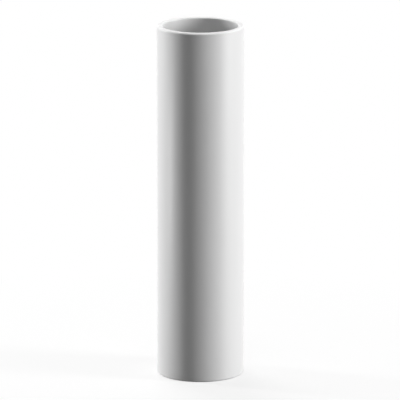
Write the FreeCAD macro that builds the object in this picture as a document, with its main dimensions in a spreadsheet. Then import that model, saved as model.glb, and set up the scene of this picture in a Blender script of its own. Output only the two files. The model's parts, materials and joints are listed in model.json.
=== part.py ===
import FreeCAD, Part
import Sketcher
import os

# Rigid PVC conduit: one short length of round tube, trade size 2 with a Schedule 40 wall.
# It is extruded in one piece, sawn square at both ends, and deburred round its four sawn rims.
#
# Frame: +Z runs up the tube's axis, and the origin is the centre of the lower end, on which it stands.
# Sizes are in millimetres.

PARTS_FOLDER = "parts"
SAME_DIAMETER = 1e-6  # two diameters this close are one

DRIVING_SIZES = [
    # name, value, what it measures
    ("outside_diameter", 60.325, "outside of the tube, 2.375 in"),
    ("wall_thickness", 3.912, "Schedule 40 wall, 0.154 in"),
    ("cut_length", 247.65, "sawn end to sawn end, 9.75 in"),
    ("outer_edge_break", 0.9, "45 degree deburr round the outside of each end"),
    ("bore_edge_break", 0.6, "45 degree deburr round the bore at each end"),
]


def make_size_sheet(doc):
    """The driving sizes, one to a row, in cells whose aliases the features are bound to."""
    sheet = doc.addObject("Spreadsheet::Sheet", "Sizes")
    for row, (name, value, meaning) in enumerate(DRIVING_SIZES, start=1):
        sheet.set(f"A{row}", meaning)
        sheet.set(f"B{row}", str(value))
        sheet.setAlias(f"B{row}", name)
    doc.recompute()
    return sheet


def origin_plane(body, role):
    """One of the body's own origin planes, found by its role."""
    return next(plane for plane in body.Origin.OriginFeatures if plane.Role == role)


def add_centred_circle(section, diameter, diameter_rule):
    """Draws a circle round the sketch's origin and binds its diameter to a rule on the sheet's sizes."""
    axis_point, up = FreeCAD.Vector(0, 0, 0), FreeCAD.Vector(0, 0, 1)
    circle = section.addGeometry(Part.Circle(axis_point, up, diameter / 2), False)
    centre_of_circle, sketch_origin = (circle, 3), (-1, 1)
    section.addConstraint(Sketcher.Constraint("Coincident", *centre_of_circle, *sketch_origin))
    held = section.addConstraint(Sketcher.Constraint("Diameter", circle, diameter))
    section.setExpression(f"Constraints[{held}]", diameter_rule)


def rims_of_diameter(feature, diameter):
    """The names of a feature's round edges of one diameter."""
    return [
        f"Edge{number}"
        for number, edge in enumerate(feature.Shape.Edges, start=1)
        if isinstance(edge.Curve, Part.Circle)
        and abs(2 * edge.Curve.Radius - diameter) < SAME_DIAMETER
    ]


def add_edge_break(body, name, diameter, size_name):
    """Deburrs both rims of one diameter with an equal-sided chamfer."""
    sawn = body.Tip
    edge_break = body.newObject("PartDesign::Chamfer", name)
    edge_break.Base = (sawn, rims_of_diameter(sawn, diameter))
    edge_break.setExpression("Size", f"Sizes.{size_name}")
    body.Document.recompute()
    return edge_break


def make_conduit_tube(doc, sheet):
    """The tube: its ring section, extruded to the cut length, then deburred outside and in the bore."""
    outside_diameter = sheet.outside_diameter
    bore_diameter = outside_diameter - 2 * sheet.wall_thickness

    body = doc.addObject("PartDesign::Body", "ConduitTube")
    body.Label = "conduit_tube"

    section = body.newObject("Sketcher::SketchObject", "WallSection")
    section.AttachmentSupport = [(origin_plane(body, "XY_Plane"), "")]
    section.MapMode = "FlatFace"
    add_centred_circle(section, outside_diameter, "Sizes.outside_diameter")
    add_centred_circle(section, bore_diameter, "Sizes.outside_diameter - 2 * Sizes.wall_thickness")

    extrusion = body.newObject("PartDesign::Pad", "Extrusion")
    extrusion.Profile = section
    extrusion.setExpression("Length", "Sizes.cut_length")
    doc.recompute()

    add_edge_break(body, "OuterEdgeBreak", outside_diameter, "outer_edge_break")
    add_edge_break(body, "BoreEdgeBreak", bore_diameter, "bore_edge_break")
    return body


def check_document(doc, sub_parts):
    """Stops the build if any object failed to compute or a sub-part is not one sound solid."""
    failed = [obj.Name for obj in doc.Objects if {"Invalid", "Error"} & set(obj.State)]
    if failed:
        raise RuntimeError(f"these objects did not compute: {failed}")
    for sub_part in sub_parts:
        shape = sub_part.Shape
        if shape.isNull() or not shape.isValid() or len(shape.Solids) != 1:
            raise RuntimeError(f"{sub_part.Label} is not one valid solid")


def write_sub_parts(sub_parts):
    """One STEP file for each sub-part, named by its label."""
    os.makedirs(PARTS_FOLDER, exist_ok=True)
    for sub_part in sub_parts:
        sub_part.Shape.exportStep(os.path.join(PARTS_FOLDER, f"{sub_part.Label}.step"))


doc = FreeCAD.newDocument("RigidPvcConduit")
sheet = make_size_sheet(doc)
sub_parts = [make_conduit_tube(doc, sheet)]
doc.recompute()
check_document(doc, sub_parts)
write_sub_parts(sub_parts)
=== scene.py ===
import json
import math

import bmesh
import bpy
from mathutils import Matrix, Vector, noise


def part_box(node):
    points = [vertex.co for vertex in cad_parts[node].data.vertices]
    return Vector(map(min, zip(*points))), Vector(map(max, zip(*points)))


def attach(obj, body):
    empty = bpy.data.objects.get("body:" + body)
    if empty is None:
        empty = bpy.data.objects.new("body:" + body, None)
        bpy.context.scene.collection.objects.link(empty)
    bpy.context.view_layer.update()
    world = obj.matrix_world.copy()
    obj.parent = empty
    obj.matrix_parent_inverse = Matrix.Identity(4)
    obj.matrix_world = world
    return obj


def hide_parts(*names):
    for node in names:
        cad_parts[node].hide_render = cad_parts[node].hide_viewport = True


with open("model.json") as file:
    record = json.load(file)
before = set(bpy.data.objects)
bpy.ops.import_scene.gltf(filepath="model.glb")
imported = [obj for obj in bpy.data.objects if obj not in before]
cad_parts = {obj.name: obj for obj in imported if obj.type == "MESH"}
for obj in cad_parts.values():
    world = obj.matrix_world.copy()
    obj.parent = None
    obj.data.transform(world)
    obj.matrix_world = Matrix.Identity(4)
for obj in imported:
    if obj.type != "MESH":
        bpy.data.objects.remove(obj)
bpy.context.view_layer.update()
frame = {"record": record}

# ---------------------------------------------------------------------------------------------
# The conduit tube
# One short length of rigid PVC conduit. The compound is extruded through a round die, so both
# walls carry faint lines along the tube. It is sawn square at both ends, and a deburring knife
# takes the sharp edge off all four rims.
# ---------------------------------------------------------------------------------------------

MM = 0.001
foot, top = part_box("conduit_tube")
mounts = {mount["name"]: mount for mount in frame["record"]["mounts"]}
spigot_size = mounts["top_spigot"]["dims"]
bore_size = mounts["bore"]["dims"]
tube_length = top.z - foot.z
outer_radius = spigot_size["r_mm"] * MM
bore_radius = bore_size["r_mm"] * MM
outer_break = (tube_length - spigot_size["length_mm"] * MM) / 2
bore_break = (tube_length - bore_size["length_mm"] * MM) / 2
wall_middle = Vector(((outer_radius + bore_radius) / 2, 0, (foot.z + top.z) / 2))

STEPS_AROUND = 384
PANELS_ALONG_WALL = 36
PANELS_ACROSS_SAWN_FACE = 12
KNIFE_SOFTENING = 0.2 * MM  # each corner of an edge break is rounded off by this much
SUPPORT = 0.2 * MM  # loops this close to the corners keep the shading of the flats true
rim_depth = outer_break + KNIFE_SOFTENING + SUPPORT


def even_steps(start, end, count):
    """count + 1 evenly spaced values from start to end."""
    return [start + (end - start) * i / count for i in range(count + 1)]


# The section of the wall is an upright rectangle in the XZ plane with its four corners cut off.
tube = bmesh.new()
bmesh.ops.create_grid(tube, x_segments=1, y_segments=1, size=0.5)
bmesh.ops.rotate(tube, verts=tube.verts, matrix=Matrix.Rotation(math.radians(90), 3, "X"))
bmesh.ops.scale(tube, verts=tube.verts, vec=(outer_radius - bore_radius, 1, tube_length))
bmesh.ops.translate(tube, verts=tube.verts, vec=wall_middle)
for radius, width in ((outer_radius, outer_break), (bore_radius, bore_break)):
    corners = [v for v in tube.verts if abs(v.co.x - radius) < width]
    bmesh.ops.bevel(
        tube, geom=corners, offset=width, segments=1, profile=0.5, affect="VERTICES", material=-1
    )
bmesh.ops.bevel(
    tube, geom=tube.verts[:], offset=KNIFE_SOFTENING, segments=3, profile=0.5,
    affect="VERTICES", material=-1,
)
bmesh.ops.delete(tube, geom=tube.faces[:], context="FACES_ONLY")

for height in even_steps(foot.z + rim_depth, top.z - rim_depth, PANELS_ALONG_WALL):
    bmesh.ops.bisect_plane(
        tube, geom=tube.verts[:] + tube.edges[:], plane_co=(0, 0, height), plane_no=(0, 0, 1)
    )
flat_inside = bore_radius + bore_break + KNIFE_SOFTENING + SUPPORT
flat_outside = outer_radius - rim_depth
for radius in even_steps(flat_inside, flat_outside, PANELS_ACROSS_SAWN_FACE):
    bmesh.ops.bisect_plane(
        tube, geom=tube.verts[:] + tube.edges[:], plane_co=(radius, 0, 0), plane_no=(1, 0, 0)
    )
bmesh.ops.spin(
    tube, geom=tube.verts[:] + tube.edges[:], cent=(0, 0, 0), axis=(0, 0, 1),
    angle=math.tau, steps=STEPS_AROUND, use_merge=True,
)
bmesh.ops.recalc_face_normals(tube, faces=tube.faces)

# The marks of the die, the saw and the knife are cut into the true shape. None stands proud.
DIE_LINE_DEPTH = 0.008 * MM
DIE_LINE_PITCH = 4 * MM
DIE_LINE_RUN = 300 * MM  # a line changes over this length
SAW_MARK_DEPTH = 0.03 * MM
SAW_MARK_PITCH = 1.5 * MM
SAW_SPINDLE = Vector((-95 * MM, -110 * MM))  # where the blade turned, seen from above
KNIFE_WANDER = 0.07  # how much an edge break's width varies, as a share of it
KNIFE_STROKE = 22 * MM
TOUCHING = 0.001 * MM

for vertex in tube.verts:
    x, y, z = vertex.co
    radius = math.hypot(x, y)
    outward = Vector((x, y, 0)) / radius
    end, into_tube = (top.z, -1) if z > wall_middle.z else (foot.z, 1)
    wall, into_wall = (outer_radius, -1) if radius > wall_middle.x else (bore_radius, 1)
    from_end, from_wall = abs(z - end), abs(radius - wall)
    if from_end < rim_depth + TOUCHING and from_wall < rim_depth + TOUCHING:
        stroke = Vector((x / KNIFE_STROKE, y / KNIFE_STROKE, (end + wall) / KNIFE_STROKE))
        width = 1 + KNIFE_WANDER * noise.noise(stroke)
        from_end, from_wall = from_end * width, from_wall * width
    elif from_wall < TOUCHING:
        line = Vector((x / DIE_LINE_PITCH, y / DIE_LINE_PITCH, z / DIE_LINE_RUN))
        from_wall = DIE_LINE_DEPTH * (0.5 + 0.5 * noise.noise(line))
    elif from_end < TOUCHING:
        arc = (Vector((x, y)) - SAW_SPINDLE).length / SAW_MARK_PITCH
        from_end = SAW_MARK_DEPTH * (0.5 + 0.5 * noise.noise(Vector((arc, end / MM, 0))))
    vertex.co = outward * (wall + into_wall * from_wall)
    vertex.co.z = end + into_tube * from_end

# Each face gets its finish, and its place on a flat map: the outside and the bore unrolled side
# by side, with the two rims as wide bands above them.
OUTSIDE, BORE, SAWN_FACE, KNIFE_EDGE = range(4)
LEVEL = 0.99  # a face whose normal is this upright is part of a sawn end
WALLS_SHARE = 0.86
MAP_GAP = 0.006
outside_share = outer_radius / (outer_radius + bore_radius)
band_height = (1 - WALLS_SHARE) / 2 - MAP_GAP
band_path = outer_radius - bore_radius + 2 * rim_depth
flat_map = tube.loops.layers.uv.new("OFBake")
for face in tube.faces:
    face.smooth = True
    middle = face.calc_center_median()
    middle_angle = math.atan2(middle.y, middle.x) % math.tau
    outside = math.hypot(middle.x, middle.y) > wall_middle.x
    from_end = min(middle.z - foot.z, top.z - middle.z)
    if abs(face.normal.z) > LEVEL:
        face.material_index = SAWN_FACE
    elif from_end < (outer_break if outside else bore_break):
        face.material_index = KNIFE_EDGE
    else:
        face.material_index = OUTSIDE if outside else BORE
    for corner in face.loops:
        x, y, z = corner.vert.co
        turn = math.remainder(math.atan2(y, x) - middle_angle, math.tau)
        around = (middle_angle + turn) / math.tau
        if from_end < rim_depth:
            drop = min(z - foot.z, top.z - z)
            path = math.hypot(x, y) - bore_radius + (drop if outside else -drop) + rim_depth
            band = WALLS_SHARE + MAP_GAP + (middle.z > wall_middle.z) * (band_height + MAP_GAP)
            corner[flat_map].uv = (around, band + band_height * path / band_path)
        else:
            first = 0 if outside else outside_share + MAP_GAP
            share = (outside_share if outside else 1 - outside_share) - MAP_GAP
            corner[flat_map].uv = (first + share * around, WALLS_SHARE * (z - foot.z) / tube_length)

tube_mesh = bpy.data.meshes.new("conduit_tube_finished")
tube.to_mesh(tube_mesh)
tube.free()
conduit = bpy.data.objects.new("conduit_tube_finished", tube_mesh)
bpy.context.scene.collection.objects.link(conduit)


def add_node(tree, kind, inputs=None, **settings):
    """A shader node with its settings made, and its sockets set or fed from other sockets."""
    made = tree.nodes.new(kind)
    for name, value in settings.items():
        setattr(made, name, value)
    for name, value in (inputs or {}).items():
        if isinstance(value, bpy.types.NodeSocket):
            tree.links.new(value, made.inputs[name])
        else:
            made.inputs[name].default_value = value
    return made


def start_plastic(name):
    """A material of plain PVC, and the socket that gives the piece's own coordinates."""
    material = bpy.data.materials.new(name)
    material.use_nodes = True
    plastic = material.node_tree.nodes["Principled BSDF"]
    plastic.inputs["IOR"].default_value = 1.53
    place = add_node(material.node_tree, "ShaderNodeTexCoord").outputs["Object"]
    return material, material.node_tree, plastic, place


def marks(tree, place, spacing, detail=2.0, roughness=0.5):
    """Noise whose marks are about as long along X, Y and Z as the three spacings say."""
    stretched = add_node(
        tree, "ShaderNodeMapping", {"Vector": place, "Scale": [1 / s for s in spacing]}
    )
    return add_node(
        tree, "ShaderNodeTexNoise",
        {"Vector": stretched.outputs["Vector"], "Scale": 1.0, "Detail": detail, "Roughness": roughness},
    ).outputs["Fac"]


def spread(tree, value, low, high):
    """The middle half of a pattern's range, spread from low to high."""
    return add_node(
        tree, "ShaderNodeMapRange",
        {"Value": value, "From Min": 0.25, "From Max": 0.75, "To Min": low, "To Max": high},
    ).outputs["Result"]


def combine(tree, operation, *values):
    """Arithmetic on sockets and numbers."""
    return add_node(
        tree, "ShaderNodeMath", dict(enumerate(values)), operation=operation
    ).outputs["Value"]


def raise_by(tree, height, depth, over=None):
    """A bump of a depth in metres, on top of another bump if one is given."""
    bump = add_node(tree, "ShaderNodeBump", {"Height": height, "Distance": depth})
    if over is not None:
        tree.links.new(over, bump.inputs["Normal"])
    return bump.outputs["Normal"]


def extruded_pvc(name, grey, roughness, line_depth):
    """The skin that the die leaves: satin and all but even, with fine lines along the tube."""
    material, tree, plastic, place = start_plastic(name)
    lines = marks(tree, place, (1.1 * MM, 1.1 * MM, 240 * MM), detail=3, roughness=0.6)
    cloud = marks(tree, place, (18 * MM, 18 * MM, 60 * MM))
    peel = marks(tree, place, (0.9 * MM, 0.9 * MM, 1.6 * MM), detail=1)
    cloud_tone = spread(tree, cloud, grey - 0.006, grey + 0.006)
    tone = combine(tree, "MULTIPLY", cloud_tone, spread(tree, lines, 0.994, 1.006))
    line_dullness = spread(tree, lines, roughness - 0.02, roughness + 0.02)
    dullness = combine(tree, "ADD", line_dullness, spread(tree, cloud, -0.02, 0.02))
    skin = raise_by(tree, peel, 0.001 * MM, over=raise_by(tree, lines, line_depth))
    tree.links.new(tone, plastic.inputs["Base Color"])
    tree.links.new(dullness, plastic.inputs["Roughness"])
    tree.links.new(skin, plastic.inputs["Normal"])
    return material


def cut_pvc(name, grey, roughness, depth, marks_of_blade):
    """PVC opened by a blade: paler than the skin, and duller in the hollows of its marks."""
    material, tree, plastic, place = start_plastic(name)
    height = marks_of_blade(tree, place)
    tree.links.new(spread(tree, height, grey - 0.015, grey + 0.01), plastic.inputs["Base Color"])
    tree.links.new(
        spread(tree, height, roughness + 0.06, roughness - 0.06), plastic.inputs["Roughness"]
    )
    tree.links.new(raise_by(tree, height, depth), plastic.inputs["Normal"])
    return material


def saw_marks(tree, place):
    """Fine arcs about the saw's spindle, broken up by grain."""
    from_spindle = add_node(
        tree, "ShaderNodeVectorMath", {0: place, 1: (*SAW_SPINDLE, 0)}, operation="SUBTRACT"
    ).outputs["Vector"]
    level = add_node(
        tree, "ShaderNodeVectorMath", {0: from_spindle, 1: (1, 1, 0)}, operation="MULTIPLY"
    ).outputs["Vector"]
    arc = add_node(
        tree, "ShaderNodeVectorMath", {0: level}, operation="LENGTH"
    ).outputs["Value"]
    arcs = add_node(
        tree, "ShaderNodeTexNoise",
        {"W": combine(tree, "DIVIDE", arc, 0.45 * MM), "Scale": 1.0, "Detail": 2.0},
        noise_dimensions="1D",
    ).outputs["Fac"]
    grain = marks(tree, place, (0.35 * MM, 0.35 * MM, 0.35 * MM), detail=3)
    return combine(tree, "ADD", combine(tree, "MULTIPLY", arcs, 0.7), combine(tree, "MULTIPLY", grain, 0.3))


def knife_marks(tree, place):
    """Fine scores that follow the rim round."""
    level = add_node(
        tree, "ShaderNodeVectorMath", {0: place, 1: (1, 1, 0)}, operation="MULTIPLY"
    ).outputs["Vector"]
    radius = add_node(
        tree, "ShaderNodeVectorMath", {0: level}, operation="LENGTH"
    ).outputs["Value"]
    parts = add_node(tree, "ShaderNodeSeparateXYZ", {"Vector": place}).outputs
    rolled = add_node(
        tree, "ShaderNodeCombineXYZ", {"X": radius, "Y": parts["X"], "Z": parts["Z"]}
    ).outputs["Vector"]
    return marks(tree, rolled, (0.16 * MM, 9 * MM, 0.16 * MM))


SKIN_GREY = 0.80
CUT_GREY = 0.84  # fresh-cut PVC is paler than its skin
for finish in (
    extruded_pvc("extruded_pvc_outside", SKIN_GREY, 0.4, line_depth=0.0035 * MM),
    extruded_pvc("extruded_pvc_bore", SKIN_GREY, 0.38, line_depth=0.006 * MM),
    cut_pvc("sawn_pvc", CUT_GREY, 0.6, 0.02 * MM, saw_marks),
    cut_pvc("knife_cut_pvc", CUT_GREY, 0.45, 0.006 * MM, knife_marks),
):
    conduit.data.materials.append(finish)

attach(conduit, "root")
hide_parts("conduit_tube")

# ---------------------------------------------------------------------------------------------
# The floor and the air round it
# A plain pale sheet that the tube stands on. It shows white, and keeps a faint trace of the
# tube's shadow.
# ---------------------------------------------------------------------------------------------

FLOOR_HALF_WIDTH = 4.0
FLOOR_GREY = 0.15  # the light that it throws back on the tube
SHADOW_TRACE = 0.3  # how much of the tube's shadow shows where the tube stands
SHADOW_REACH = 1.2 * tube_length  # and it has faded out this far from there

floor_sheet = bmesh.new()
bmesh.ops.create_grid(floor_sheet, x_segments=1, y_segments=1, size=FLOOR_HALF_WIDTH)
bmesh.ops.translate(floor_sheet, verts=floor_sheet.verts, vec=(0, 0, foot.z))
floor_mesh = bpy.data.meshes.new("studio_floor")
floor_sheet.to_mesh(floor_mesh)
floor_sheet.free()
floor = bpy.data.objects.new("studio_floor", floor_mesh)
bpy.context.scene.collection.objects.link(floor)


def seen_directly(tree):
    """1 for what the camera sees, also in gloss or through glass, and 0 for light on a surface."""
    path = add_node(tree, "ShaderNodeLightPath").outputs
    seen = combine(tree, "MAXIMUM", path["Is Camera Ray"], path["Is Glossy Ray"])
    return combine(tree, "MAXIMUM", seen, path["Is Transmission Ray"])


floor_finish = bpy.data.materials.new("pale_floor")
floor_finish.use_nodes = True
floor_tree = floor_finish.node_tree
floor_tree.nodes.clear()
white = add_node(floor_tree, "ShaderNodeEmission", {"Strength": 1.0}).outputs["Emission"]
shaded = add_node(floor_tree, "ShaderNodeBsdfDiffuse", {"Color": (1, 1, 1, 1)}).outputs["BSDF"]
dim = add_node(
    floor_tree, "ShaderNodeBsdfDiffuse", {"Color": (FLOOR_GREY, FLOOR_GREY, FLOOR_GREY, 1)}
).outputs["BSDF"]
floor_place = add_node(floor_tree, "ShaderNodeTexCoord").outputs["Object"]
from_tube = add_node(
    floor_tree, "ShaderNodeVectorMath", {0: floor_place}, operation="LENGTH"
).outputs["Value"]
trace = add_node(
    floor_tree, "ShaderNodeMapRange",
    {
        "Value": from_tube, "From Min": outer_radius, "From Max": SHADOW_REACH,
        "To Min": SHADOW_TRACE, "To Max": 0.0,
    },
).outputs["Result"]
backdrop = add_node(floor_tree, "ShaderNodeMixShader", {0: trace, 1: white, 2: shaded})
floor_look = add_node(
    floor_tree, "ShaderNodeMixShader",
    {0: seen_directly(floor_tree), 1: dim, 2: backdrop.outputs["Shader"]},
)
add_node(floor_tree, "ShaderNodeOutputMaterial", {"Surface": floor_look.outputs["Shader"]})
floor.data.materials.append(floor_finish)

world = bpy.data.worlds.new("studio_air")
bpy.context.scene.world = world
world.use_nodes = True
air = world.node_tree
air_light = air.nodes["Background"]
air_light.inputs["Color"].default_value = (1, 1, 1, 1)
air.links.new(seen_directly(air), air_light.inputs["Strength"])

# ---------------------------------------------------------------------------------------------
# The lamps
# Plain soft studio light. A tall strip at either side lights the tube's edges and leaves its
# middle in half shade, and a small box near the floor gives the sheen on its left. Three more,
# above and behind, light the sawn rim and the mouth of the bore.
# ---------------------------------------------------------------------------------------------


def softbox(name, bearing, elevation, distance, width, height, glow):
    """A flat soft lamp that faces the tube. A bearing of 0 is in front, and 90 is to the right."""
    turned, raised = math.radians(bearing), math.radians(elevation)
    towards = Vector((
        math.sin(turned) * math.cos(raised), -math.cos(turned) * math.cos(raised), math.sin(raised)
    ))
    lamp = bpy.data.lights.new(name, "AREA")
    lamp.shape = "RECTANGLE"
    lamp.size, lamp.size_y = width, height
    lamp.energy = glow * math.pi * width * height
    placed = bpy.data.objects.new(name, lamp)
    placed.location = Vector((0, 0, wall_middle.z)) + towards * distance
    placed.rotation_euler = towards.to_track_quat("Z", "Y").to_euler()
    placed.visible_camera = False
    bpy.context.scene.collection.objects.link(placed)


softbox("left_strip", -111, 0, 3.5, 0.32, 2.7, 67.0)
softbox("low_left_fill", -84, -9, 0.6, 0.12, 0.06, 28.0)
softbox("right_strip", 77, 0, 3.5, 0.7, 2.5, 40.0)
softbox("right_overhead", 75, 35, 1.5, 0.6, 0.6, 1.2)
softbox("overhead_softbox", -10, 82, 1.5, 0.6, 0.6, 5.2)
softbox("back_softbox", -160, 60, 1.5, 0.6, 0.6, 9.0)

# ---------------------------------------------------------------------------------------------
# The camera
# It stands well back with a long lens, in front of the tube and a little above it, so that the
# sides stay all but parallel and the mouth of the bore shows.
# ---------------------------------------------------------------------------------------------

VIEW_ELEVATION = math.radians(13.2)
AIM_OFF_CENTRE = Vector((-0.3 * MM, 0, -0.4 * MM))
camera_distance = 15 * tube_length
frame_height = 1.125 * tube_length
camera = bpy.data.cameras.new("camera")
camera.lens = camera.sensor_width * camera_distance / frame_height
camera.clip_end = 100
camera_stand = bpy.data.objects.new("camera", camera)
back = Vector((0, -math.cos(VIEW_ELEVATION), math.sin(VIEW_ELEVATION)))
aim = Vector((0, 0, wall_middle.z)) + AIM_OFF_CENTRE
camera_stand.location = aim + back * camera_distance
camera_stand.rotation_euler = back.to_track_quat("Z", "Y").to_euler()
bpy.context.scene.collection.objects.link(camera_stand)
bpy.context.scene.camera = camera_stand
bpy.context.scene.view_settings.view_transform = "Standard"
